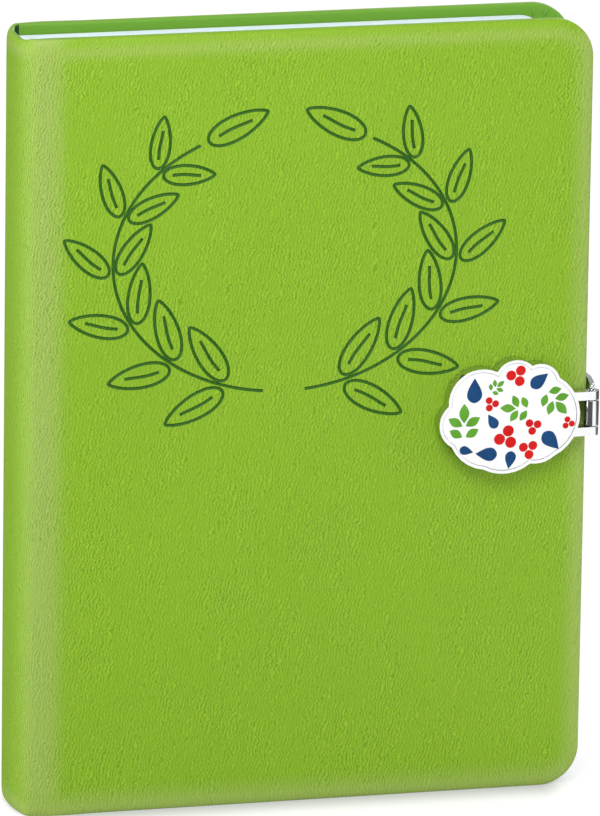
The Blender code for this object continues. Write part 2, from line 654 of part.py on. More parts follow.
front_axis = make_axis("front_cover_axis", HINGE_X, FRONT_Y)
back_axis = make_axis("back_cover_axis", HINGE_X, BACK_Y)
strap_axis = make_axis("clasp_strap_axis", PIN_X, PIN_Y, front_axis)

front_layers = make_cover("front_cover", -1, front_axis)
back_layers = make_cover("back_cover", 1, back_axis)
make_spine()
make_turning_leaves()
make_sections()
make_plate(front_layers, front_axis)
make_pin(front_axis)
make_strap(strap_axis)
make_catch(back_layers, back_axis)
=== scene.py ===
import json
import math

import bmesh
import bpy
import numpy as np
from mathutils import Matrix, Vector


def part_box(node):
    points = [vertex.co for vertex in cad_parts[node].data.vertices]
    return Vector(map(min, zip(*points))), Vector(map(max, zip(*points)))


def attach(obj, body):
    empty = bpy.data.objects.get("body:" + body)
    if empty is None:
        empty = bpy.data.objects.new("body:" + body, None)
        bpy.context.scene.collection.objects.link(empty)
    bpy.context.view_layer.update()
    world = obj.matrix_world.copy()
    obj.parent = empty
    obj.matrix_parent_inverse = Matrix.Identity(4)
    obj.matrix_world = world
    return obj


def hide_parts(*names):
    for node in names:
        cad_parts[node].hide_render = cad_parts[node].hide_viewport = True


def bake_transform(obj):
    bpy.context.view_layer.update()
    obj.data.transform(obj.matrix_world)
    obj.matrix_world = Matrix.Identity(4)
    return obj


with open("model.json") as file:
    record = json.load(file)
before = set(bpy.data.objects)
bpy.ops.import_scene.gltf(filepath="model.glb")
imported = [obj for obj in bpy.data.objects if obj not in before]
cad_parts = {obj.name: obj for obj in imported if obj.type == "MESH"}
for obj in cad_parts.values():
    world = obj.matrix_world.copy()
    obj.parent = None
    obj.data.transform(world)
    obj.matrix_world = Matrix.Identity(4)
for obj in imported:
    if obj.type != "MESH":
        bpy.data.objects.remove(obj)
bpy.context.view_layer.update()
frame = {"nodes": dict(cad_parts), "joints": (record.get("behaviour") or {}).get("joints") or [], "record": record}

# Places taken from the frame; lengths are in metres unless a heading says otherwise

NODES = frame["nodes"]
JOINTS = {joint["name"]: joint["pos_m"] for joint in frame["joints"]}
SECTIONS = sorted(name for name in NODES if name.startswith("page_section_"))

COVER_LOW, COVER_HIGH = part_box("front_cover_leatherette")
SPINE_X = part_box("spine_leatherette")[0].x
FORE_X = COVER_HIGH.x
HEAD_Z = COVER_HIGH.z
HALF_DEPTH = -COVER_LOW.y
COVER = COVER_HIGH.y - COVER_LOW.y
HINGE_X = JOINTS["front_cover_hinge"][0]
PASTEDOWN_LOW, PASTEDOWN_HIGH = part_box("front_pastedown")

# Padded covers: round corners, a pillowed face and rounded edges

CORNER = 0.011
PILLOW = 0.0008
PILLOW_REACH = 0.0095
EDGE_REACH = 0.0030
EDGE_DROP = 0.0010
EDGE_SHARE = 0.45
INNER_ROUND = 0.0007

# Spine: a flattened oval outside and another round the hollow

SPINE_DIP = 0.0007
SPINE_SWEEP = 0.0070
SPINE_FULLNESS = 2.7
SPINE_PILLOW = 0.0006
SPINE_PILLOW_REACH = 0.0150
SPINE_WALL = 0.0025
HOLLOW_X = SPINE_X + SPINE_WALL
HOLLOW_SWEEP = 0.0031
HOLLOW_FULLNESS = 4.0

# Cover joints: where the sheet bends, and how the front one is thinned inside

JOINT_GROOVE = 0.66
JOINT_SHIFT = -0.0004
JOINT_REACH = (0.0010, 0.0028)
JOINT_RUN_OUT = (0.0004, 0.0028)

# Turned-in rim inside each cover, the panel for the lining, and the least wall that is divided by

LINING_GAP = 0.0001
LINING_LIFT = 0.00005
TURN_IN = FORE_X - PASTEDOWN_HIGH.x - LINING_GAP
TURN_IN_STEP = 0.0001
PANEL_DEPTH = PASTEDOWN_LOW.y + HALF_DEPTH - LINING_LIFT
LEAST_WALL = 1e-9

# Points of the wrap: how many along each stretch, and how far in from the head and tail

SPINE_STATIONS = 41
SHOULDER_STATIONS = 6
FLAT_STATIONS = 13
CORNER_STATIONS = 21
LIP_LINES = 10
SLOPE_LINES = (0.0042, 0.0055, 0.0070, 0.0085, 0.0100)
LINE_SPACING = 0.012

# Grain and painted sheen of the leatherette: strengths, and the distances over which they come and go

SURFACE_MARKS = ("embossed", "stretched", "inside", "lining")
WRINKLE_RATE = 2 * math.pi / 0.00098
WRINKLE_LEAN = 0.22
WRINKLE_DRIFT = 16.0
WRINKLE_WANDER = 11.5
GRAIN_DEPTH = 0.00012
EDGE_GRAIN = 0.55
INSIDE_GRAIN = 0.40
GRAIN_REACH = (0.0010, 0.0070)
FACE_REACH = (0.0003, 0.0015)
# Painted sheen: paler bands inside the head, at the tail and fore-edge and along the spine's turn
HEAD_SHEEN = 0.68
HEAD_SHEEN_START = (0.0010, 0.0036)
HEAD_SHEEN_END = (0.0039, 0.0066)
TAIL_SHEEN = 1.10
TAIL_SHEEN_REACH = (0.0002, 0.0090)
FORE_SHEEN = 0.95
FORE_SHEEN_REACH = (0.0006, 0.0075)
CORNER_SHEEN_REACH = (-0.006, 0.006)
SPINE_SHEEN = 0.0066
SPINE_SHEEN_REACH = (0.0010, 0.0075)

# Spine skin and hollow, as shares of their ovals; the hollow's shares bound its painted shade

SPINE_SKIN = (0.45, 0.70)
HOLLOW_SKIN = (1.02, 1.20)
HOLLOW_START = 0.35

# Debossed garland: its groove and two stems; a leaf's outline and midrib are shares of its length

GROOVE_RADIUS = 0.00048
GROOVE_LIFT = 0.00016
GROOVE_SIDES = 10
GARLAND_CENTRE = (0.0735, 0.1535)
GARLAND_HALF = (0.0480, 0.0370)
GARLAND_ENDS_DEG = (-83, 60)
STEM_POINTS = 60
LEAFY_PART = (0.09, 0.86)
LEAF_PAIRS = 6
LEAF_LENGTH = 0.0205
LEAF_SPREAD = math.radians(42)
LEAF_TAPER = 0.25
LEAF_POINTS = 36
LEAF_WIDTH = 0.19
LEAF_MIDDLE = 0.56
LEAF_HALF = 0.44
RIB_POINTS = 10
RIB_START = 0.27
RIB_STEP = 0.055
RIB_SWAY = 0.012
RIB_SWAY_TURN = 0.5

# Text block: leaves cut into each section

LEAVES_A_SECTION = 16
LEAF_SHARE = 0.86
PAGE_CORNER = 0.008
PAGE_WANDER = 0.00012

# Edges of solids made from outlines, and shading

MITRE_LIMIT = 0.35
SMOOTH_ANGLE = math.radians(32)

# Polished metal of the clasp; the pin's domed end is given by insets and rises

POLISH_ROUND = 0.00028
POLISH_STEPS = 3
SHARP_CORNER = math.radians(40)
SAME_PLANE = math.radians(1)
SLIVER = 0.00002
PIN_HEAD = 0.0009
PIN_HEAD_SIDES = 24
PIN_HEAD_STEPS = ((0.00012, 0.00001), (0.0, 0.00025), (0.0, 0.0009), (0.00012, 0.0013), (0.00035, 0.0016),
                  (0.00062, 0.00174), (0.00082, 0.00178))

# Domed enamel on the clasp

SAME_POINT = 1e-7
SAME_LEVEL = 1e-6
ENAMEL_RISE = 0.00010
DOME_SHARE = 0.85
DOME_ROUND = 0.00022
DOME_START = 0.3
DOME_STEPS = 5
DOME_INSET = 0.0012

# Print on the enamel: across, up and size of each motif, in millimetres from the middle of the face

PRINTS = {
    "sprig_print": ((-13.0, -0.9, 11.0), (13.0, 3.5, 9.6), (1.4, 2.3, 9.0), (-3.8, 8.7, 5.2)),
    "drop_print": ((-10.2, 7.9, 7.0), (11.8, -7.3, 6.6), (-6.6, -10.1, 6.2), (8.2, 9.9, 6.0),
                   (0.2, -12.1, 5.0), (-5.0, -0.9, 4.6), (-12.2, -8.9, 4.0)),
    "berry_print": ((-1.0, -5.7, 7.4), (1.8, 11.5, 6.6), (5.4, -9.3, 6.0), (6.6, -2.9, 5.2),
                    (-5.4, 3.9, 4.6), (16.6, -2.5, 4.0)),
}
PRINT_LIFT = 0.00003
PRINT_SHINE = 0.10
GOLDEN_TURN = math.pi * (3 - math.sqrt(5))
SPRIG_LEAN = 1.05
BERRY_TURNS = (0.3, 2.4, 4.5)
BERRY_RING = 0.26
BERRY_RADIUS = 0.215

# Pleats at the fore corners; a step is a place along the pleat and how far it swells there

PLEAT_ANGLES_DEG = (0, 22, 45, 68, 90)
PLEAT_RADII = (0.0030, 0.0104)
PLEAT_HEIGHT = 0.00055
PLEAT_SINK = 0.00004
PLEAT_UNEVEN = 0.2
PLEAT_STEPS = ((-0.5, 0.10), (-0.3, 0.25), (0.0, 0.28), (0.16, 0.4), (0.26, 1.0), (0.40, 1.0), (0.5, 0.35))
PLEAT_SIDES = 7
PLEAT_HALF = 0.03
PLEAT_SWELL = 0.035

# Stage: floor, lamps by place, width and height, and watts, and the photograph's viewpoint

FLOOR_HALF = 6
SHADOW_REACH = (0.004, 0.045)
# Painted shadow: how far the floor's glow dims round the journal's foot
PAINTED_SHADOW_REACH = (-0.004, 0.013)
LIT_STRIP = ((0.06, 0.13), (0.38, 0.46))
SOFTBOXES = {
    "key_softbox": ((-0.18, -0.55, 0.76), (0.45, 0.45), 5.5),
    "left_softbox": ((-0.95, -0.75, 0.14), (0.45, 0.26), 2.2),
    "spine_softbox": ((-1.20, 0.15, 0.35), (0.5, 0.5), 6.4),
    "right_softbox": ((1.15, -0.35, 0.16), (0.45, 0.30), 2.8),
    "front_softbox": ((0.28, -1.25, 0.22), (0.7, 0.4), 1.0),
    "back_softbox": ((0.80, 0.90, 0.75), (0.5, 0.5), 7.0),
}
CAMERA_TURN = math.radians(15.25)
CAMERA_RISE = math.radians(14.20)
CAMERA_ROLL = math.radians(0.846)
CAMERA_DISTANCE = 2.5593
CAMERA_AIM = (FORE_X - 0.079, 0.0, 0.108)
CAMERA_LENS_MM = 414.1
CAMERA_SENSOR_MM = 36.0
CAMERA_SHIFT = 0.00511
CAMERA_FAR = 50.0

# Node trees written as plain sums


class Wire:
    """One socket of a node tree. Sums of wires and numbers become Math nodes."""

    def __init__(self, tree, socket=None):
        self.tree = tree
        self.socket = socket

    def add(self, kind, settings=None, inputs=None, output=0):
        """A new node of any kind: its settings first, then the values or links of its sockets."""
        node = self.tree.nodes.new(kind)
        for name, value in (settings or {}).items():
            setattr(node, name, value)
        for key, value in (inputs or {}).items():
            if isinstance(value, Wire):
                self.tree.links.new(value.socket, node.inputs[key])
            else:
                node.inputs[key].default_value = value
        return Wire(self.tree, node.outputs[output] if len(node.outputs) else None)

    def out(self, name):
        """Another output of the same node."""
        return Wire(self.tree, self.socket.node.outputs[name])

    def math(self, operation, *values):
        """A Math node on these values."""
        return self.add("ShaderNodeMath", {"operation": operation}, dict(enumerate(values)))

    def mix(self, low, high):
        """The colour between low and high at this factor. Sockets 6 and 7 of a Mix node are its colours."""
        colours = [(*c, 1.0) if isinstance(c, tuple) else c for c in (low, high)]
        settings = {"data_type": "RGBA", "clamp_factor": True}
        return self.add("ShaderNodeMix", settings, {0: self, 6: colours[0], 7: colours[1]}, 2)

    def step(self, low, high):
        """0 below low, 1 above high, and smooth between them."""
        settings = {"interpolation_type": "SMOOTHSTEP"}
        return self.add("ShaderNodeMapRange", settings, {0: self, 1: low, 2: high, 3: 0.0, 4: 1.0})

    def __add__(self, other):
        return self.math("ADD", self, other)

    def __radd__(self, other):
        return self.math("ADD", other, self)

    def __sub__(self, other):
        return self.math("SUBTRACT", self, other)

    def __rsub__(self, other):
        return self.math("SUBTRACT", other, self)

    def __mul__(self, other):
        return self.math("MULTIPLY", self, other)

    def __rmul__(self, other):
        return self.math("MULTIPLY", other, self)

    def __truediv__(self, other):
        return self.math("DIVIDE", self, other)

    def __rtruediv__(self, other):
        return self.math("DIVIDE", other, self)

    def __abs__(self):
        return self.math("ABSOLUTE", self)


def new_material(name):
    """An empty material, a wire to build it with and its Object coordinates."""
    material = bpy.data.materials.new(name)
    material.use_nodes = True
    material.node_tree.nodes.clear()
    wire = Wire(material.node_tree)
    return material, wire, wire.add("ShaderNodeTexCoord", output="Object")


def finish_material(wire, settings):
    """The principled shader with these sockets, joined to the material's output."""
    shader = wire.add("ShaderNodeBsdfPrincipled", inputs=settings)
    wire.add("ShaderNodeOutputMaterial", inputs={"Surface": shader})


def noise(wire, place, scale, detail=2.0, roughness=0.5, distortion=0.0):
    """Noise from 0 to 1; scale gives the cells a metre along x, y and z."""
    mapped = wire.add("ShaderNodeMapping", inputs={"Vector": place, "Scale": scale})
    return wire.add("ShaderNodeTexNoise", inputs={
        "Vector": mapped, "Scale": 1.0, "Detail": detail, "Roughness": roughness, "Distortion": distortion},
        output="Fac")


def bump(wire, height, distance, strength=1.0):
    """A normal that stands for this height, whose full range is the distance."""
    return wire.add("ShaderNodeBump", inputs={"Height": height, "Distance": distance, "Strength": strength})


# Finishes


def leatherette(name, crease, ridge, painted_sheen_tint, turned, hollow):
    """Embossed leatherette: short slanting wrinkles in loose patches, their creases partly painted shade; a
    painted sheen along the edges and the spine's turn; painted shade on the inside faces and in the spine's
    hollow.
    """
    material, wire, place = new_material(name)
    embossed, stretched, inside, lining = (
        wire.add("ShaderNodeAttribute", {"attribute_name": label}, output="Fac") for label in SURFACE_MARKS)
    parts = wire.add("ShaderNodeSeparateXYZ", inputs={"Vector": place})
    x, y, z = (parts.out(axis) for axis in "XYZ")
    around = (SPINE_X - x - abs(y)) * wire.math("SIGN", y)
    drift = noise(wire, place, (230, 230, 180), 1.0)
    wander = noise(wire, place, (520, 520, 900), 1.0)
    wave = (around - z * WRINKLE_LEAN) * WRINKLE_RATE + drift * WRINKLE_DRIFT + wander * WRINKLE_WANDER
    pebble = noise(wire, place, (2600, 2600, 2000), 1.0) - 0.5
    wrinkle = wire.math("SINE", wave) * 0.5 + pebble * 1.25
    breaks = noise(wire, place, (1000, 1000, 760), 1.0).step(0.32, 0.60)
    patches = noise(wire, place, (75, 75, 45)).step(0.28, 0.72)
    clouds = noise(wire, place, (26, 26, 18))
    grain = wrinkle * embossed * (0.30 + breaks * 0.70) * (0.45 + patches * 0.55)
    # The grain's tone runs between the crease and ridge colours: partly the leatherette's own tone, partly painted
    # shade in the creases and painted light on the ridges
    tone = (0.39 + grain * 1.15 + patches * 0.05 + clouds * 0.14).mix(crease, ridge)
    # Painted sheen: the outside is paled towards a whitish tint along its edges and the spine's turn
    outside = (stretched * (0.50 + grain * 0.70)).mix(tone, painted_sheen_tint)
    finish_material(wire, {
        # Painted shade: the inside faces take a darker tint, the turned-in sheet lying in the cover's shadow
        "Base Color": lining.mix((inside * (0.92 + grain * 0.60)).mix(outside, turned), hollow),
        "Roughness": 0.50 - grain * 0.12,
        "Specular IOR Level": 0.34,
        "Normal": bump(wire, grain, GRAIN_DEPTH),
    })
    return material


def paper(name, base, shade, fibre_scale):
    """Uncoated paper: fine fibres and faint cloudiness."""
    material, wire, place = new_material(name)
    fibre = noise(wire, place, (fibre_scale, fibre_scale, fibre_scale * 0.6), 4.0, 0.65, 0.4)
    cloud = noise(wire, place, (60, 60, 60))
    tone = fibre * 0.6 + cloud * 0.4
    finish_material(wire, {
        "Base Color": tone.step(0.3, 0.7).mix(shade, base),
        "Roughness": 0.86 - fibre * 0.1,
        "Specular IOR Level": 0.25,
        "Normal": bump(wire, fibre, 0.00003, 0.4),
    })
    return material


def metal(name, base, shade, rough, scratch, grain_scale):
    """Plated or plain metal with fine scratches one way and soft smears."""
    material, wire, place = new_material(name)
    scratches = noise(wire, place, grain_scale, 3.0, 0.6)
    smear = noise(wire, place, (160, 160, 160), 3.0)
    finish_material(wire, {
        "Base Color": smear.step(0.3, 0.75).mix(shade, base),
        "Metallic": 1.0,
        "Roughness": rough + smear * rough + scratches * scratch,
        "Normal": bump(wire, scratches, 0.000008, 0.35),
    })
    return material


def glaze(name, base, shade, shine=0.4):
    """Fired enamel or print: glossy, with a faint ripple and a slightly uneven tint."""
    material, wire, place = new_material(name)
    ripple = noise(wire, place, (420, 420, 420))
    tint = noise(wire, place, (180, 180, 180))
    finish_material(wire, {
        "Base Color": tint.step(0.3, 0.7).mix(shade, base),
        "Roughness": 0.18 + ripple * 0.10,
        "Specular IOR Level": shine,
        "Normal": bump(wire, ripple, 0.00002, 0.5),
    })
    return material


def foam_rubber(name, base, shade):
    """Open-cell foam."""
    material, wire, place = new_material(name)
    settings = {"feature": "DISTANCE_TO_EDGE"}
    cell = wire.add("ShaderNodeTexVoronoi", settings, {"Vector": place, "Scale": 1600.0})
    finish_material(wire, {
        "Base Color": cell.step(0.0, 0.3).mix(shade, base),
        "Roughness": 0.95 - cell * 0.1,
        "Normal": bump(wire, cell, 0.0001, 0.6),
    })
    return material


def gauze(name, thread, gap, thread_rate):
    """Open mull cloth: threads both ways with gaps between them."""
    material, wire, place = new_material(name)
    parts = wire.add("ShaderNodeSeparateXYZ", inputs={"Vector": place})
    across, along = (wire.math("SINE", parts.out(axis) * thread_rate) for axis in "YZ")
    weave = wire.math("MAXIMUM", across, along) * 0.5 + 0.5
    fuzz = noise(wire, place, (2500, 2500, 2500), 3.0)
    finish_material(wire, {
        "Base Color": (weave * 0.8 + fuzz * 0.2).step(0.2, 0.8).mix(gap, thread),
        "Roughness": 0.95 - fuzz * 0.08,
        "Normal": bump(wire, weave, 0.0001, 0.6),
    })
    return material


# Leatherette colours: crease and ridge are partly the grain's own tone and partly its painted shade and light; the
# pale edge tint is a painted sheen; the inside tint and the hollow colour are painted shade
LIME = leatherette(
    "lime_leatherette", crease=(0.155, 0.322, 0.004), ridge=(0.290, 0.500, 0.018),
    painted_sheen_tint=(0.385, 0.470, 0.145), turned=(0.150, 0.365, 0.032), hollow=(0.006, 0.045, 0.008))
DEBOSSED = leatherette(
    "debossed_leatherette", crease=(0.012, 0.084, 0.001), ridge=(0.038, 0.158, 0.004),
    painted_sheen_tint=(0.030, 0.110, 0.004), turned=(0.030, 0.110, 0.004), hollow=(0.006, 0.045, 0.008))
PAGE_PAPER = paper("page_paper", (0.85, 0.945, 0.975), (0.80, 0.90, 0.935), fibre_scale=3200)
ENDPAPER = paper("endpaper", (0.87, 0.90, 0.89), (0.81, 0.84, 0.83), fibre_scale=2200)
BOARD = paper("binders_board", (0.46, 0.44, 0.40), (0.34, 0.32, 0.29), fibre_scale=900)
FOAM = foam_rubber("white_foam", (0.86, 0.86, 0.83), (0.66, 0.66, 0.62))
MULL = gauze("mull_gauze", (0.80, 0.76, 0.66), (0.46, 0.42, 0.35), thread_rate=5200)
CHROME = metal("bright_chrome", (0.68, 0.685, 0.69), (0.60, 0.605, 0.615), rough=0.05, scratch=0.04,
               grain_scale=(900, 900, 9000))
STEEL = metal("plain_steel", (0.58, 0.59, 0.61), (0.46, 0.47, 0.49), rough=0.16, scratch=0.12,
              grain_scale=(700, 700, 7000))
ENAMEL = glaze("white_enamel", (0.90, 0.905, 0.90), (0.86, 0.865, 0.86))
LEAF_GREEN = glaze("leaf_green_print", (0.125, 0.365, 0.036), (0.100, 0.310, 0.026), PRINT_SHINE)
BERRY_RED = glaze("berry_red_print", (0.640, 0.011, 0.011), (0.560, 0.008, 0.008), PRINT_SHINE)
DROP_NAVY = glaze("drop_navy_print", (0.009, 0.066, 0.195), (0.007, 0.050, 0.155), PRINT_SHINE)

# Making meshes


def add_object(name, data):
    """A new object in the scene, for a mesh, a lamp or a camera."""
    obj = bpy.data.objects.new(name, data)
    bpy.context.scene.collection.objects.link(obj)
    return obj


def mesh_from(name, points, faces, edges=()):
    """A mesh of these points, faces and loose edges."""
    mesh = bpy.data.meshes.new(name)
    mesh.from_pydata([tuple(p) for p in points], list(edges), faces)
    return mesh


def plain_mesh(obj):
    """The mesh that an object's modifiers make of it."""
    graph = bpy.context.evaluated_depsgraph_get()
    return bpy.data.meshes.new_from_object(obj.evaluated_get(graph))


def smooth(mesh):
    """Shade the mesh smooth, except across sharp edges."""
    mesh.shade_smooth()
    mesh.set_sharp_from_angle(angle=SMOOTH_ANGLE)


def turn_outwards(mesh):
    """Make every face of a closed mesh point outwards."""
    bm = bmesh.new()
    bm.from_mesh(mesh)
    bmesh.ops.recalc_face_normals(bm, faces=bm.faces)
    bm.to_mesh(mesh)
    bm.free()


def ride_on(obj, body, slot, *nodes):
    """The finished piece rides on its body and stands for its CAD nodes."""
    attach(obj, body)
    if nodes:
        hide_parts(*nodes)


def settle(obj, body, slot, *nodes):
    """Shade the finished piece smooth and let it ride on its body."""
    smooth(obj.data)
    ride_on(obj, body, slot, *nodes)


def open_tree(name, inputs):
    """A geometry tree with named inputs beside its geometry."""
    tree = bpy.data.node_groups.new(name, "GeometryNodeTree")
    tree.interface.new_socket("Geometry", in_out="INPUT", socket_type="NodeSocketGeometry")
    for label, kind in inputs.items():
        tree.interface.new_socket(label, in_out="INPUT", socket_type="NodeSocket" + kind)
    tree.interface.new_socket("Geometry", in_out="OUTPUT", socket_type="NodeSocketGeometry")
    return tree, Wire(tree).add("NodeGroupInput")


def close_tree(entry, geometry):
    """Realize what the tree makes, give it the tree's material and hand it out."""
    solid = entry.add("GeometryNodeRealizeInstances", inputs={"Geometry": geometry})
    inputs = {"Geometry": solid, "Material": entry.out("Material")}
    entry.add("NodeGroupOutput", inputs={"Geometry": entry.add("GeometryNodeSetMaterial", inputs=inputs)})


def join(entry, shapes):
    """All these shapes of a tree as one."""
    joined = entry.add("GeometryNodeJoinGeometry")
    for shape in shapes:
        entry.tree.links.new(shape.socket, joined.socket.node.inputs[0])
    return joined


def grow(name, seed_mesh, tree, values):
    """The plain mesh that a tree makes from a seed mesh."""
    obj = add_object(name, seed_mesh)
    modifier = obj.modifiers.new(tree.name, "NODES")
    modifier.node_group = tree
    for item in tree.interface.items_tree:
        if item.in_out == "INPUT" and item.name in values:
            modifier[item.identifier] = values[item.name]
    mesh = plain_mesh(obj)
    obj.modifiers.remove(modifier)
    bpy.data.objects.remove(obj)
    mesh.name = name
    return mesh


def scatter_tree():
    """A motif set on every point, turned about y and sized by the point's own values."""
    tree, entry = open_tree("scatter", {"Motif": "Object", "Material": "Material"})
    motif = entry.add("GeometryNodeObjectInfo", inputs={"Object": entry.out("Motif")}, output="Geometry")
    turn, size = (entry.add("GeometryNodeInputNamedAttribute", {"data_type": "FLOAT"}, {"Name": label})
                  for label in ("turn", "size"))
    rotation = entry.add("FunctionNodeAxisAngleToRotation", inputs={"Axis": (0.0, 1.0, 0.0), "Angle": turn})
    points = entry.add("GeometryNodeMeshToPoints", inputs={"Mesh": entry})
    close_tree(entry, entry.add("GeometryNodeInstanceOnPoints", inputs={
        "Points": points, "Instance": motif, "Rotation": rotation, "Scale": size}))
    return tree


SCATTER = scatter_tree()


def scatter(name, motif_mesh, points, turns, sizes, material):
    """The motif on all these points, as one mesh."""
    motif = add_object("motif", motif_mesh)
    seed = mesh_from("places", points, [])
    for label, values in (("turn", turns), ("size", sizes)):
        places = seed.attributes.new(label, "FLOAT", "POINT")
        places.data.foreach_set("value", np.array(values, np.float32))
    mesh = grow(name, seed, SCATTER, {"Motif": motif, "Material": material})
    bpy.data.objects.remove(motif)
    turn_outwards(mesh)
    return mesh


def rounded_rectangle(low, high, left, right, steps=10):
    """Outline of a rectangle whose left and right corners have these radii, counter-clockwise."""
    corners = (((low[0] + left, low[1] + left), left, 180), ((high[0] - right, low[1] + right), right, 270),
               ((high[0] - right, high[1] - right), right, 0), ((low[0] + left, high[1] - left), left, 90))
    points = []
    for (x, z), radius, start in corners:
        turns = [math.radians(start + 90 * k / steps) for k in range(steps + 1)] if radius else [0.0]
        points += [(x + radius * math.cos(t), z + radius * math.sin(t)) for t in turns]
    return points


def disc(x, z, radius, steps=14):
    """Outline of a circle."""
    turns = [2 * math.pi * k / steps for k in range(steps)]
    return [(x + radius * math.cos(t), z + radius * math.sin(t)) for t in turns]


def lens(length, width, lean=0.0, power=1.0, gap=0.0, shift=0.0, steps=12):
    """Outline of a pointed oval that starts a gap away from a centre, leaning from +z, moved along z."""
    ups = [0.5 - 0.5 * math.cos(math.pi * k / steps) for k in range(steps + 1)]
    right = [(width * math.sin(math.pi * up ** power), gap + up * length) for up in ups]
    loop = right + [(-u, v) for u, v in right[-2:0:-1]]
    return [(u * math.cos(lean) + v * math.sin(lean), v * math.cos(lean) - u * math.sin(lean) + shift)
            for u, v in loop]


def inset(outline, distance):
    """A counter-clockwise outline moved inwards by this distance, corners mitred."""
    points = np.array(outline)
    ahead = np.roll(points, -1, 0) - points
    ahead /= np.linalg.norm(ahead, axis=1)[:, None]
    normal = np.stack((-ahead[:, 1], ahead[:, 0]), 1)
    before = np.roll(normal, 1, 0)
    mitre = (normal + before) / (1 + (normal * before).sum(1))[:, None].clip(MITRE_LIMIT)
    return points + mitre * distance


def band_faces(rings, count):
    """Quads that join each ring of points to the next."""
    faces = []
    for low in range(0, (rings - 1) * count, count):
        high = low + count
        faces += [(low + k, low + (k + 1) % count, high + (k + 1) % count, high + k) for k in range(count)]
    return faces


def cap_faces(rings, count):
    """The faces that close the first and the last ring."""
    return [tuple(range(count)), tuple(range((rings - 1) * count, rings * count))]


def ringed_mesh(name, outline, profile, place):
    """A closed solid through rings of an outline: each profile step is an inset and a level."""
    points = [place(u, v, level) for gap, level in profile for u, v in inset(outline, gap)]
    size = (len(profile), len(outline))
    mesh = mesh_from(name, points, cap_faces(*size) + band_faces(*size))
    turn_outwards(mesh)
    return mesh


def upright(u, v, level):
    """A point of an upright outline, at this level from front to back."""
    return u, level, v


# Padded case


def border_distance(x, z):
    """How far a point of a cover is from its head, tail or fore-edge."""
    across = np.minimum(z, HEAD_Z - z)
    along = FORE_X - x
    corner = CORNER - np.hypot(CORNER - along, CORNER - across)
    return np.where((across < CORNER) & (along < CORNER), corner, np.minimum(across, along))


def round_off(distance, reach, drop):
    """How deep a rounded edge lies at this distance from the border."""
    near = np.clip((reach - distance) / reach, 0, 1)
    return drop * (1 - np.sqrt(1 - near ** 2))


def ease(value, low, high):
    """0 below low, 1 above high, and smooth between them."""
    share = np.clip((value - low) / (high - low), 0, 1)
    return share * share * (3 - 2 * share)


def oval_point(turn, start, sweep, half, fullness):
    """A point of a flattened oval, as x and its distance from the middle plane, at a turn up to a quarter."""
    power = 2 / fullness
    return start + sweep * (1 - max(math.cos(turn), 0.0) ** power), half * math.sin(turn) ** power


def wrap_stations():
    """From the middle of the spine to the fore-edge: x and depth of the outer face and of the inner one."""
    stations = []
    for turn in np.linspace(0, math.pi / 2, SPINE_STATIONS):
        x, out = oval_point(turn, SPINE_X, SPINE_SWEEP, HALF_DEPTH, SPINE_FULLNESS)
        inner_x, inner_out = oval_point(turn, HOLLOW_X, HOLLOW_SWEEP, HALF_DEPTH - COVER, HOLLOW_FULLNESS)
        stations.append((x, HALF_DEPTH - out, inner_x, HALF_DEPTH - inner_out))
    start = stations[-1]
    for share in np.linspace(0, 1, SHOULDER_STATIONS)[1:]:
        x = start[0] + share * SPINE_PILLOW_REACH
        stations.append((x, 0.0, start[2] + share * (x - start[2]), COVER))
    flat = np.linspace(stations[-1][0], FORE_X - TURN_IN - TURN_IN_STEP, FLAT_STATIONS)[1:]
    rounded = FORE_X - CORNER + CORNER * np.sin(np.linspace(0, math.pi / 2, CORNER_STATIONS))
    stations += [(x, 0.0, x, COVER) for x in (*flat, FORE_X - TURN_IN, *rounded)]
    return np.array(stations)


def wrap_lines():
    """Places from the tail to the head at which the wrap has points, as shares of half its height."""
    lip = EDGE_REACH * (1 - np.cos(np.linspace(0, math.pi / 2, LIP_LINES)))
    slope = np.array([*SLOPE_LINES, TURN_IN - TURN_IN_STEP, TURN_IN])
    inner = np.linspace(TURN_IN, HEAD_Z / 2, int(HEAD_Z / 2 / LINE_SPACING))[1:]
    distances = np.concatenate((lip, slope, inner)) / (HEAD_Z / 2)
    return np.concatenate((distances - 1, (1 - distances)[-2::-1]))


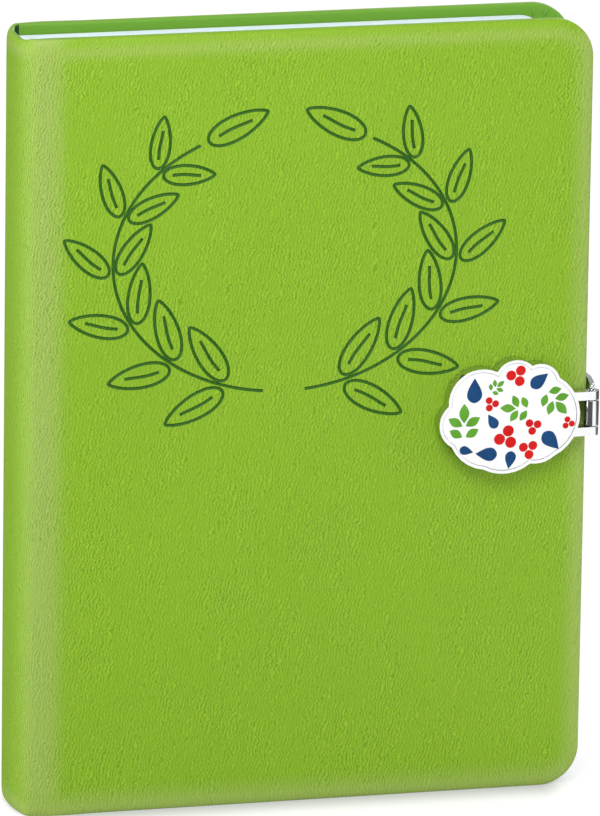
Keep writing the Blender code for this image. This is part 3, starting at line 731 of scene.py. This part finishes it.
def wrap_skins(side):
    """Points of the wrap's outer and inner faces, by station and line."""
    x, depth, inner_x, inner_depth = (column[:, None] for column in wrap_stations().T)
    cover_share = ease(x, SPINE_X, SPINE_X + SPINE_SWEEP / 2)
    past = np.clip((x - FORE_X + CORNER) / CORNER, 0, 1)
    half = HEAD_Z / 2 - CORNER + CORNER * np.sqrt(1 - past ** 2) - SPINE_DIP * (1 - cover_share)
    z = HEAD_Z / 2 + half * wrap_lines()[None, :]
    border = np.where(x > FORE_X - CORNER - TURN_IN, border_distance(x, z), half - abs(z - HEAD_Z / 2))
    sheet = np.hypot(inner_x - x, inner_depth - depth)

    near = np.clip(1 - border / PILLOW_REACH, 0, 1)
    near_spine = np.clip(1 - (x - SPINE_X) / SPINE_PILLOW_REACH, 0, 1)
    near_spine = near_spine * ease(x, SPINE_X, SPINE_X + SPINE_SWEEP)
    pillow = PILLOW * near ** 2 * cover_share + SPINE_PILLOW * near_spine ** 2
    outer = pillow + round_off(border, EDGE_REACH, np.minimum(EDGE_DROP, EDGE_SHARE * sheet))

    inner_round = INNER_ROUND + SPINE_DIP / 2 * (1 - cover_share)
    inner = sheet - round_off(border, inner_round, inner_round)
    clear_of_edges = TURN_IN - TURN_IN_STEP / 2
    panel = (np.minimum(z, HEAD_Z - z) > clear_of_edges) & (FORE_X - x > clear_of_edges)
    panel = panel & (inner_depth > PANEL_DEPTH) & (inner_depth < COVER + TURN_IN_STEP)
    wall = np.maximum(inner_depth - depth, LEAST_WALL)
    inner = np.where(panel, sheet * (PANEL_DEPTH - depth) / wall, inner)
    if side < 0:
        bend = 1 - ease(abs(inner_x - HINGE_X - JOINT_SHIFT), *JOINT_REACH)
        inner = inner * (1 - JOINT_GROOVE * bend * ease(border, *JOINT_RUN_OUT))

    skins = []
    for offset in (outer, inner):
        share = offset / sheet
        level = depth + (inner_depth - depth) * share
        skins.append(np.stack((x + (inner_x - x) * share, side * (HALF_DEPTH - level), z), 2))
    return skins


def case_wrap(name, side):
    """Half the padded case, from the middle of the spine to one cover's fore-edge, side -1 in front."""
    outer, inner = wrap_skins(side)
    loops = np.concatenate((outer, inner[:, ::-1]), 1)
    rows, count = loops.shape[:2]
    faces = band_faces(rows, count)
    for base in (0, (rows - 1) * count):
        faces += [(base + k, base + k + 1, base + count - 2 - k, base + count - 1 - k)
                  for k in range(count // 2 - 1)]
    mesh = mesh_from(name, loops.reshape(-1, 3), faces)
    turn_outwards(mesh)
    mesh.materials.append(LIME)
    return add_object(name, mesh)


def mark_surface(mesh):
    """Values of each point: its grain, its painted sheen, whether it is inside (where a darker tint paints shade),
    and the painted shade of the spine's hollow.
    """
    points = np.empty(len(mesh.vertices) * 3)
    mesh.vertices.foreach_get("co", points)
    x, y, z = points.reshape(-1, 3).T
    border = border_distance(x, z)
    flat = ease(abs(y), HALF_DEPTH - COVER + FACE_REACH[0], HALF_DEPTH - COVER + FACE_REACH[1])
    swept = np.clip((SPINE_X + SPINE_SWEEP - x) / SPINE_SWEEP, 0, None) ** SPINE_FULLNESS
    swept = ease(swept + (abs(y) / HALF_DEPTH) ** SPINE_FULLNESS, *SPINE_SKIN)
    outer = np.where(x < HINGE_X, swept, flat)
    embossed = EDGE_GRAIN + (1 - EDGE_GRAIN) * ease(border, *GRAIN_REACH)
    embossed = embossed * (INSIDE_GRAIN + (1 - INSIDE_GRAIN) * outer)

    # Painted sheen: bands where lamps would glint on the rounded head, tail, fore-edge and spine's turn
    at_head = HEAD_SHEEN * ease(border, *HEAD_SHEEN_START) * (1 - ease(border, *HEAD_SHEEN_END))
    at_tail = TAIL_SHEEN * (1 - ease(border, *TAIL_SHEEN_REACH))
    at_fore = FORE_SHEEN * (1 - ease(border, *FORE_SHEEN_REACH))
    past_fore = ease(FORE_X - x - np.minimum(z, HEAD_Z - z), *CORNER_SHEEN_REACH)
    rim = at_fore + (np.where(z < HEAD_Z / 2, at_tail, at_head) - at_fore) * past_fore
    at_spine = 1 - ease(abs(x - SPINE_X - SPINE_SHEEN), *SPINE_SHEEN_REACH)
    stretched = np.maximum(rim, at_spine) * outer

    # Painted shade: the hollow behind the spine is darkened towards a near-black green, deepest at its back
    across = np.clip((HOLLOW_X + HOLLOW_SWEEP - x) / HOLLOW_SWEEP, 0, None)
    reach = across ** HOLLOW_FULLNESS + (abs(y) / (HALF_DEPTH - COVER)) ** HOLLOW_FULLNESS
    lining = (1 - ease(reach, *HOLLOW_SKIN)) * (across > HOLLOW_START)
    for label, values in zip(SURFACE_MARKS, (embossed, stretched, 1 - outer, lining)):
        mesh.attributes.new(label, "FLOAT", "POINT").data.foreach_set("value", values.astype(np.float32))


front_wrap = case_wrap("front_case_wrap", -1)
back_wrap = case_wrap("back_case_wrap", 1)

# Garland debossed on the front


def leaf_line():
    """One leaf of unit length as a closed outline and a midrib, pointing along x from its stalk."""
    points = []
    for turn in np.linspace(0, 2 * math.pi, LEAF_POINTS, endpoint=False):
        width = LEAF_WIDTH * math.sin(turn) * abs(math.sin(turn / 2)) ** 0.5
        points.append((LEAF_MIDDLE + LEAF_HALF * math.cos(turn), 0.0, width))
    edges = [(k, (k + 1) % LEAF_POINTS) for k in range(LEAF_POINTS)]
    rib = [(RIB_START + RIB_STEP * k, 0.0, RIB_SWAY * math.sin(k * RIB_SWAY_TURN)) for k in range(RIB_POINTS)]
    edges += [(LEAF_POINTS + k, LEAF_POINTS + k + 1) for k in range(RIB_POINTS - 1)]
    return mesh_from("leaf_line", points + rib, [], edges)


def leafy_stem_tree():
    """Paired leaves along a stem and one at its tip, all drawn as round grooves."""
    tree, entry = open_tree("leafy_stem", {
        "Leaf": "Object", "Pairs": "Int", "First": "Float", "Last": "Float", "Spread": "Float",
        "Leaf Length": "Float", "Taper": "Float", "Line Radius": "Float", "Line Sides": "Int",
        "Material": "Material"})
    leaf = entry.add("GeometryNodeObjectInfo", inputs={"Object": entry.out("Leaf")}, output="Geometry")

    def heading(tangent):
        settings = {"axis": "X", "pivot_axis": "Y"}
        return entry.add("FunctionNodeAlignRotationToVector", settings, {"Vector": tangent})

    def set_leaves(points, rotation, size):
        return entry.add("GeometryNodeInstanceOnPoints", inputs={
            "Points": points, "Instance": leaf, "Rotation": rotation, "Scale": size})

    stem = entry.add("GeometryNodeMeshToCurve", inputs={"Mesh": entry})
    leafy = entry.add("GeometryNodeTrimCurve", inputs={
        "Curve": stem, "Start": entry.out("First"), "End": entry.out("Last")})
    nodes = entry.add("GeometryNodeCurveToPoints", {"mode": "COUNT"}, {
        "Curve": leafy, "Count": entry.out("Pairs")})
    along = heading(nodes.out("Tangent"))
    share = entry.add("GeometryNodeInputIndex") / entry.out("Pairs")
    size = (1 - share * entry.out("Taper")) * entry.out("Leaf Length")
    leaves = []
    for sign in (1, -1):
        lean = entry.add("FunctionNodeAxisAngleToRotation", inputs={
            "Axis": (0.0, 1.0, 0.0), "Angle": entry.out("Spread") * sign})
        turned = entry.add("FunctionNodeRotateRotation", {"rotation_space": "LOCAL"}, {
            "Rotation": along, "Rotate By": lean})
        leaves.append(set_leaves(nodes, turned, size))
    tip = entry.add("GeometryNodeSampleCurve", {"mode": "FACTOR"}, {
        "Curves": stem, "Factor": 1.0}, "Position")
    point = entry.add("GeometryNodePoints", inputs={"Count": 1, "Position": tip})
    leaves.append(set_leaves(point, heading(tip.out("Tangent")), entry.out("Leaf Length")))
    drawn = entry.add("GeometryNodeRealizeInstances", inputs={"Geometry": join(entry, leaves)})
    lines = join(entry, (entry.add("GeometryNodeMeshToCurve", inputs={"Mesh": drawn}), stem))
    ring = entry.add("GeometryNodeCurvePrimitiveCircle", inputs={
        "Resolution": entry.out("Line Sides"), "Radius": entry.out("Line Radius")})
    close_tree(entry, entry.add("GeometryNodeCurveToMesh", inputs={
        "Curve": lines, "Profile Curve": ring, "Fill Caps": True}))
    return tree


def garland_stem(side):
    """One stem of the open garland, from the foot up the left (-1) or right (1) side."""
    turns = np.radians(np.linspace(*GARLAND_ENDS_DEG, STEM_POINTS))
    across = SPINE_X + GARLAND_CENTRE[0] + side * GARLAND_HALF[0] * np.cos(turns)
    up = GARLAND_CENTRE[1] + GARLAND_HALF[1] * np.sin(turns)
    path = [(x, -HALF_DEPTH - GROOVE_LIFT, z) for x, z in zip(across, up)]
    return mesh_from("stem", path, [], [(k, k + 1) for k in range(STEM_POINTS - 1)])


def garland_cutter():
    """Both sides of the garland as one set of round rods."""
    tree = leafy_stem_tree()
    leaf = add_object("leaf_line", leaf_line())
    rods = bmesh.new()
    for side in (-1, 1):
        rods.from_mesh(grow("garland_side", garland_stem(side), tree, {
            "Leaf": leaf, "Pairs": LEAF_PAIRS, "First": LEAFY_PART[0], "Last": LEAFY_PART[1],
            "Spread": LEAF_SPREAD, "Leaf Length": LEAF_LENGTH, "Taper": LEAF_TAPER,
            "Line Radius": GROOVE_RADIUS, "Line Sides": GROOVE_SIDES, "Material": DEBOSSED}))
    bpy.data.objects.remove(leaf)
    bmesh.ops.recalc_face_normals(rods, faces=rods.faces)
    mesh = bpy.data.meshes.new("garland_cutter")
    rods.to_mesh(mesh)
    rods.free()
    mesh.materials.append(DEBOSSED)
    return add_object("garland_cutter", mesh)


def deboss(wrap, cutter):
    """Press the cutter's shape into the case, and clear the cutter away."""
    modifier = wrap.modifiers.new("deboss", "BOOLEAN")
    modifier.operation = "DIFFERENCE"
    modifier.solver = "EXACT"
    modifier.use_self = True
    modifier.material_mode = "TRANSFER"
    modifier.object = cutter
    carved = plain_mesh(wrap)
    wrap.modifiers.remove(modifier)
    wrap.data = carved
    bpy.data.objects.remove(cutter)


deboss(front_wrap, garland_cutter())
for wrap, body, side, nodes in (
        (front_wrap, "front_cover", -1, ("front_cover_leatherette", "front_cover_foam", "spine_leatherette")),
        (back_wrap, "back_cover", 1, ("back_cover_leatherette", "back_cover_foam"))):
    smooth(wrap.data)
    mark_surface(wrap.data)
    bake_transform(wrap)
    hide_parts(*nodes)

# Text block


def leaf_stack_tree():
    """A stack of single leaves, each a hair off the next."""
    tree, entry = open_tree("leaf_stack", {
        "Leaves": "Int", "Pitch": "Vector", "Wander": "Vector", "Seed": "Int", "Material": "Material"})
    line = entry.add("GeometryNodeMeshLine", inputs={
        "Count": entry.out("Leaves"), "Offset": entry.out("Pitch")})
    least = entry.add("ShaderNodeVectorMath", {"operation": "SCALE"}, {0: entry.out("Wander"), "Scale": -1.0})
    shift = entry.add("FunctionNodeRandomValue", {"data_type": "FLOAT_VECTOR"}, {
        0: least, 1: entry.out("Wander"), "Seed": entry.out("Seed")})
    strewn = entry.add("GeometryNodeSetPosition", inputs={"Geometry": line, "Offset": shift})
    close_tree(entry, entry.add("GeometryNodeInstanceOnPoints", inputs={"Points": strewn, "Instance": entry}))
    return tree


def stack_sections():
    """The ten sections as stacks of leaves."""
    tree = leaf_stack_tree()
    for number, section in enumerate(SECTIONS):
        low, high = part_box(section)
        pitch = (high.y - low.y) / LEAVES_A_SECTION
        foot, top = low.z + PAGE_WANDER, high.z - PAGE_WANDER
        outline = rounded_rectangle((low.x, foot), (high.x - PAGE_WANDER, top), 0, PAGE_CORNER)
        leaf = ringed_mesh("leaf", outline, ((0, low.y), (0, low.y + pitch * LEAF_SHARE)), upright)
        mesh = grow("paper_section_%02d" % (number + 1), leaf, tree, {
            "Leaves": LEAVES_A_SECTION, "Pitch": (0.0, pitch, 0.0),
            "Wander": (PAGE_WANDER, 0.0, PAGE_WANDER), "Seed": number, "Material": PAGE_PAPER})
        settle(add_object(mesh.name, mesh), "journal_body", "page_paper", section)


stack_sections()

# Clasp


def face_outline(node):
    """The outline of a node's front face, counter-clockwise as seen from the front."""
    bm = bmesh.new()
    bm.from_mesh(node.data)
    bmesh.ops.remove_doubles(bm, verts=bm.verts, dist=SAME_POINT)
    bm.normal_update()
    level = min(v.co.y for v in bm.verts)
    front = {f for f in bm.faces if all(abs(v.co.y - level) < SAME_LEVEL for v in f.verts)}
    follows = {}
    for face in front:
        for loop in face.loops:
            if not any(other in front for other in loop.edge.link_faces if other is not face):
                follows[loop.vert.index] = loop.link_loop_next.vert.index
    place = {v.index: (v.co.x, v.co.z) for v in bm.verts}
    bm.free()
    start = min(follows)
    points, here = [place[start]], follows[start]
    while here != start:
        points.append(place[here])
        here = follows[here]
    outline = np.array(points)
    ahead = np.roll(outline, -1, 0)
    area = (outline[:, 0] * ahead[:, 1] - ahead[:, 0] * outline[:, 1]).sum()
    return outline if area > 0 else outline[::-1]


def polish(name, source, body):
    """A copy of a metal piece with its edges rounded."""
    bm = bmesh.new()
    bm.from_mesh(source.data)
    bmesh.ops.remove_doubles(bm, verts=bm.verts, dist=SLIVER)
    bmesh.ops.dissolve_degenerate(bm, dist=SLIVER, edges=bm.edges)
    bmesh.ops.dissolve_limit(bm, angle_limit=SAME_PLANE, verts=bm.verts, edges=bm.edges)
    corners = [e for e in bm.edges if e.calc_face_angle(0.0) > SHARP_CORNER]
    bmesh.ops.bevel(bm, geom=corners, offset=POLISH_ROUND, segments=POLISH_STEPS, profile=0.5, affect="EDGES",
                    clamp_overlap=True)
    mesh = bpy.data.meshes.new(name)
    bm.to_mesh(mesh)
    bm.free()
    mesh.materials.append(CHROME)
    obj = add_object(name, mesh)
    smooth(mesh)
    modifier = obj.modifiers.new("flat_faces", "WEIGHTED_NORMAL")
    modifier.keep_sharp = True
    shaded = plain_mesh(obj)
    obj.modifiers.remove(modifier)
    obj.data = shaded
    ride_on(obj, body, "chrome", source.name)


def add_pin_head():
    """The domed end of the hinge pin, above the upper lug."""
    x, y, _ = JOINTS["clasp_strap_hinge"]
    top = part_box("clasp_pin")[1].z
    turns = np.linspace(0, 2 * math.pi, PIN_HEAD_SIDES, endpoint=False)
    rim = [(PIN_HEAD * math.cos(t), PIN_HEAD * math.sin(t)) for t in turns]
    mesh = ringed_mesh("pin_head", rim, PIN_HEAD_STEPS, lambda u, v, rise: (x + u, y + v, top + rise))
    mesh.materials.append(CHROME)
    settle(add_object("pin_head", mesh), "front_cover", "chrome")


def dome_enamel(face):
    """The enamel, softly domed; its top level is handed back."""
    base, back = (corner.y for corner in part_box("clasp_enamel"))
    profile = [(0, back), (0, base)]
    profile += [(DOME_ROUND * (1 - math.cos(t)), base - DOME_SHARE * ENAMEL_RISE * math.sin(t))
                for t in np.linspace(DOME_START, math.pi / 2, DOME_STEPS)]
    profile.append((DOME_INSET, base - ENAMEL_RISE))
    mesh = ringed_mesh("domed_enamel", face, profile, upright)
    mesh.materials.append(ENAMEL)
    settle(add_object("domed_enamel", mesh), "front_cover", "enamel", "clasp_enamel")
    return base - ENAMEL_RISE


def print_motifs():
    """One sprig, one drop and one cluster of berries: piece, outlines of about unit size, and finish."""
    sprig = [lens(0.50, 0.13, shift=-0.02)]
    for lean in (-SPRIG_LEAN, SPRIG_LEAN):
        sprig.append(lens(0.42, 0.115, lean, gap=0.05, shift=-0.12))
        sprig.append(lens(0.38, 0.11, lean, gap=0.05, shift=-0.40))
    drop = [lens(1.0, 0.31, power=0.62, shift=-0.5)]
    berries = [disc(BERRY_RING * math.sin(t), BERRY_RING * math.cos(t), BERRY_RADIUS) for t in BERRY_TURNS]
    return (("sprig_print", sprig, LEAF_GREEN), ("drop_print", drop, DROP_NAVY),
            ("berry_print", berries, BERRY_RED))


def slabs(name, outlines):
    """Upright outlines, each made a solid of unit thickness."""
    joined = bmesh.new()
    for outline in outlines:
        joined.from_mesh(ringed_mesh(name, outline, ((0, 1.0), (0, 0.0)), upright))
    mesh = bpy.data.meshes.new(name)
    joined.to_mesh(mesh)
    joined.free()
    return mesh


def print_enamel(face, level):
    """The small print on the enamel's top, as thin solids half sunk in it."""
    middle = (face.min(0) + face.max(0)) / 2
    for name, outlines, material in print_motifs():
        spots = np.array(PRINTS[name]) / 1000
        points = [(middle[0] + x, 0.0, middle[1] + z) for x, z, _ in spots]
        turns = [k * GOLDEN_TURN for k in range(len(spots))]
        sizes = spots[:, 2]
        mesh = scatter(name, slabs(name, outlines), points, turns, sizes, material)
        for vertex in mesh.vertices:
            front = vertex.co.y < sizes.min() / 2
            vertex.co.y = level - PRINT_LIFT if front else level + PRINT_LIFT
        settle(add_object(name, mesh), "front_cover", "enamel")


polish("polished_plate", NODES["clasp_plate"], "front_cover")
polish("polished_pin", NODES["clasp_pin"], "front_cover")
polish("polished_strap", NODES["clasp_strap"], "clasp_strap")
add_pin_head()
for name in ("clasp_catch", "upper_rivet", "lower_rivet"):
    polish("polished_" + name, NODES[name], "back_cover")
enamel_face = face_outline(NODES["clasp_enamel"])
print_enamel(enamel_face, dome_enamel(enamel_face))

# Pleats of the turned-in sheet at the fore corners


def pleat_motif():
    """One pleat of unit length along z, standing up along y."""
    points = []
    turns = np.linspace(0, math.pi, PLEAT_SIDES)
    for along, swell in PLEAT_STEPS:
        half = PLEAT_HALF + PLEAT_SWELL * swell
        points += [(half * math.cos(t), swell * math.sin(t), along) for t in turns]
    size = (len(PLEAT_STEPS), PLEAT_SIDES)
    return mesh_from("pleat", points, band_faces(*size) + cap_faces(*size))


def pleat_corners(name, body, side):
    """Small radial folds where the sheet is turned in round the two fore corners of a cover."""
    length = PLEAT_RADII[1] - PLEAT_RADII[0]
    middle = (PLEAT_RADII[0] + PLEAT_RADII[1]) / 2
    spots, turns, sizes = [], [], []
    for tail in (False, True):
        for number, angle in enumerate(PLEAT_ANGLES_DEG):
            out = math.radians(angle)
            x = FORE_X - CORNER + middle * math.sin(out)
            z = HEAD_Z - CORNER + middle * math.cos(out)
            spots.append((x, 0.0, HEAD_Z - z if tail else z))
            turns.append(math.pi - out if tail else out)
            uneven = ((number * 7 + tail * 3) % 5) / 4
            sizes.append(length * (1 - PLEAT_UNEVEN + PLEAT_UNEVEN * uneven))
    mesh = scatter(name, pleat_motif(), spots, turns, sizes, LIME)
    foot = HALF_DEPTH - COVER + PLEAT_SINK
    tallest = max(v.co.y for v in mesh.vertices)
    for vertex in mesh.vertices:
        vertex.co.y = side * (foot - (PLEAT_HEIGHT + PLEAT_SINK) * vertex.co.y / tallest)
    turn_outwards(mesh)
    mark_surface(mesh)
    settle(add_object(name, mesh), body, "leatherette")


pleat_corners("front_corner_pleats", "front_cover", -1)
pleat_corners("back_corner_pleats", "back_cover", 1)

# Finishes of the pieces that keep their CAD shape

FINISHES = {
    "foam": FOAM, "board": BOARD, "endpaper": ENDPAPER, "page_paper": PAGE_PAPER, "mull": MULL,
    "chrome": CHROME, "steel": STEEL, "enamel": ENAMEL, "leatherette": LIME}
for subpart in frame["record"]["subparts"]:
    node = NODES[subpart["node"]]
    node.data.materials.clear()
    node.data.materials.append(FINISHES[subpart["material_slot"]])

# Stage, light and camera


def grey(level):
    """A grey of this level as a colour."""
    return level, level, level


def light_path(wire):
    """The kinds of ray, and 1 for a ray that the camera sees, straight or through a clear piece."""
    rays = wire.add("ShaderNodeLightPath")
    return rays, wire.math("MAXIMUM", rays.out("Is Camera Ray"), rays.out("Is Transmission Ray"))


def floor_finish():
    """A pale floor that keeps the shadow, with a painted shadow round the journal's foot; the metal mirrors it
    dark, but for one lit strip.
    """
    material, wire, place = new_material("pale_floor")
    rays, seen = light_path(wire)
    mirrored = rays.out("Is Glossy Ray")
    parts = wire.add("ShaderNodeSeparateXYZ", inputs={"Vector": place})
    beyond = [wire.math("MAXIMUM", abs(parts.out(axis)) - half, 0.0)
              for axis, half in (("X", FORE_X - CORNER), ("Y", HALF_DEPTH))]
    gap = beyond[0] + beyond[1]
    away = gap.step(*SHADOW_REACH)
    dusty = noise(wire, place, (3, 3, 3)).mix(grey(0.78), grey(0.80))
    base = seen.mix(dusty, away.mix(grey(0.40), grey(0.04)))
    matte = wire.add("ShaderNodeBsdfDiffuse", inputs={"Color": mirrored.mix(base, grey(0.05))})
    start, end = (parts.out("X").step(*reach) for reach in LIT_STRIP)
    # Painted shadow: the floor's glow dims in a ring round the journal's foot
    shown = seen * (0.22 + gap.step(*PAINTED_SHADOW_REACH) * 0.45 + away * 0.33)
    strength = shown + mirrored * (0.08 + (start - end) * 1.45)
    glow = wire.add("ShaderNodeEmission", inputs={"Color": (1, 1, 1, 1), "Strength": strength})
    both = wire.add("ShaderNodeAddShader", inputs={0: matte, 1: glow})
    wire.add("ShaderNodeOutputMaterial", inputs={"Surface": both})
    return material


def lay_floor():
    """A wide floor under the journal."""
    corners = [(FLOOR_HALF * x, FLOOR_HALF * y, 0) for x, y in ((-1, -1), (1, -1), (1, 1), (-1, 1))]
    floor = add_object("floor", mesh_from("floor", corners, [(0, 1, 2, 3)]))
    floor.data.materials.append(floor_finish())


def light_surround():
    """A white surround, which lights the journal less than it shows to the camera."""
    world = bpy.data.worlds.new("white_surround")
    bpy.context.scene.world = world
    world.use_nodes = True
    world.node_tree.nodes.clear()
    wire = Wire(world.node_tree)
    rays, seen = light_path(wire)
    level = 0.27 + rays.out("Is Glossy Ray") * 0.24 + seen * 0.73
    shine = wire.add("ShaderNodeBackground", inputs={"Color": (1, 1, 1, 1), "Strength": level})
    wire.add("ShaderNodeOutputWorld", inputs={"Surface": shine})


def add_softbox(name, place, size, power):
    """A lamp with a flat front of this width and height, aimed at the middle of the journal."""
    lamp = bpy.data.lights.new(name, "AREA")
    lamp.shape = "RECTANGLE"
    lamp.size, lamp.size_y = size
    lamp.energy = power
    obj = add_object(name, lamp)
    aim = Vector((0, 0, HEAD_Z / 2)) - Vector(place)
    obj.matrix_world = Matrix.Translation(place) @ aim.to_track_quat("-Z", "Y").to_matrix().to_4x4()
    obj.visible_camera = False


def place_camera():
    """The photograph's viewpoint: turned to the left of the front, a little above, from afar."""
    level = math.cos(CAMERA_RISE)
    back = Vector((-math.sin(CAMERA_TURN) * level, -math.cos(CAMERA_TURN) * level, math.sin(CAMERA_RISE)))
    right = Vector((0, 0, 1)).cross(back).normalized()
    up = back.cross(right)
    across = right * math.cos(CAMERA_ROLL) + up * math.sin(CAMERA_ROLL)
    above = up * math.cos(CAMERA_ROLL) - right * math.sin(CAMERA_ROLL)
    camera = bpy.data.cameras.new("photo_camera")
    camera.sensor_width = CAMERA_SENSOR_MM
    camera.lens = CAMERA_LENS_MM
    camera.shift_x = CAMERA_SHIFT
    camera.clip_end = CAMERA_FAR
    obj = add_object("photo_camera", camera)
    rotation = Matrix((across, above, back)).transposed().to_4x4()
    obj.matrix_world = Matrix.Translation(Vector(CAMERA_AIM) + back * CAMERA_DISTANCE) @ rotation
    bpy.context.scene.camera = obj


lay_floor()
light_surround()
for name, (place, size, power) in SOFTBOXES.items():
    add_softbox(name, place, size, power)
place_camera()
bpy.context.scene.view_settings.view_transform = "Standard"
